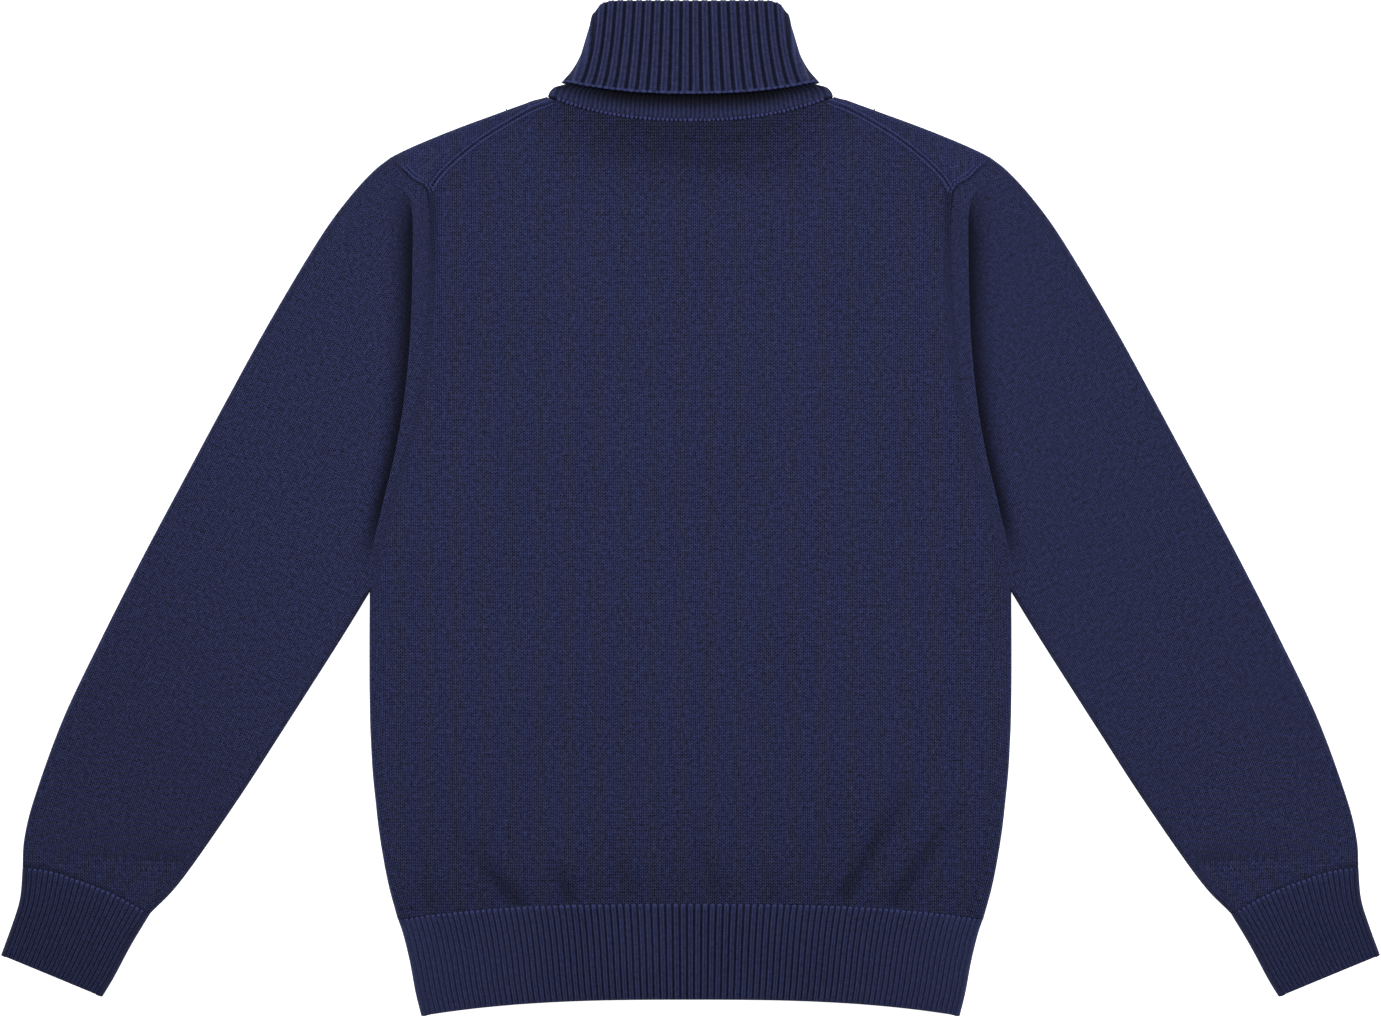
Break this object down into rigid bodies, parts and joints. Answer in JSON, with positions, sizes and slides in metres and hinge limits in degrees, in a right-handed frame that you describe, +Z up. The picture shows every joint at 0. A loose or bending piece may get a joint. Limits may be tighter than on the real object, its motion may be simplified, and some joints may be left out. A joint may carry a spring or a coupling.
{
  "type": "turtleneck sweater",
  "caption": "Navy knitted turtleneck sweater laid flat on its front, back upwards, with a folded ribbed collar and ribbed cuffs and hem.",
  "frame": {"origin": "on the surface that the sweater lies on, at the centre of its bounding box: on its centre line, midway between the hem's lower corners and the collar's top fold", "axes": "+X across the sweater, towards the wearer's right sleeve; +Y along it, from the hem towards the collar; +Z up from the surface, through the front and then the back"},
  "size_m": [1.035, 0.761, 0.0186],
  "materials": {
    "plain_knit": "matte",
    "rib_knit": "matte"
  },
  "bodies": {
    "root": {"back": "plain_knit", "front": "plain_knit", "sleeve_left": "plain_knit", "sleeve_right": "plain_knit", "hem_rib_back": "rib_knit", "hem_rib_front": "rib_knit", "cuff_left": "rib_knit", "cuff_right": "rib_knit", "collar": "rib_knit"}
  },
  "joints": []
}
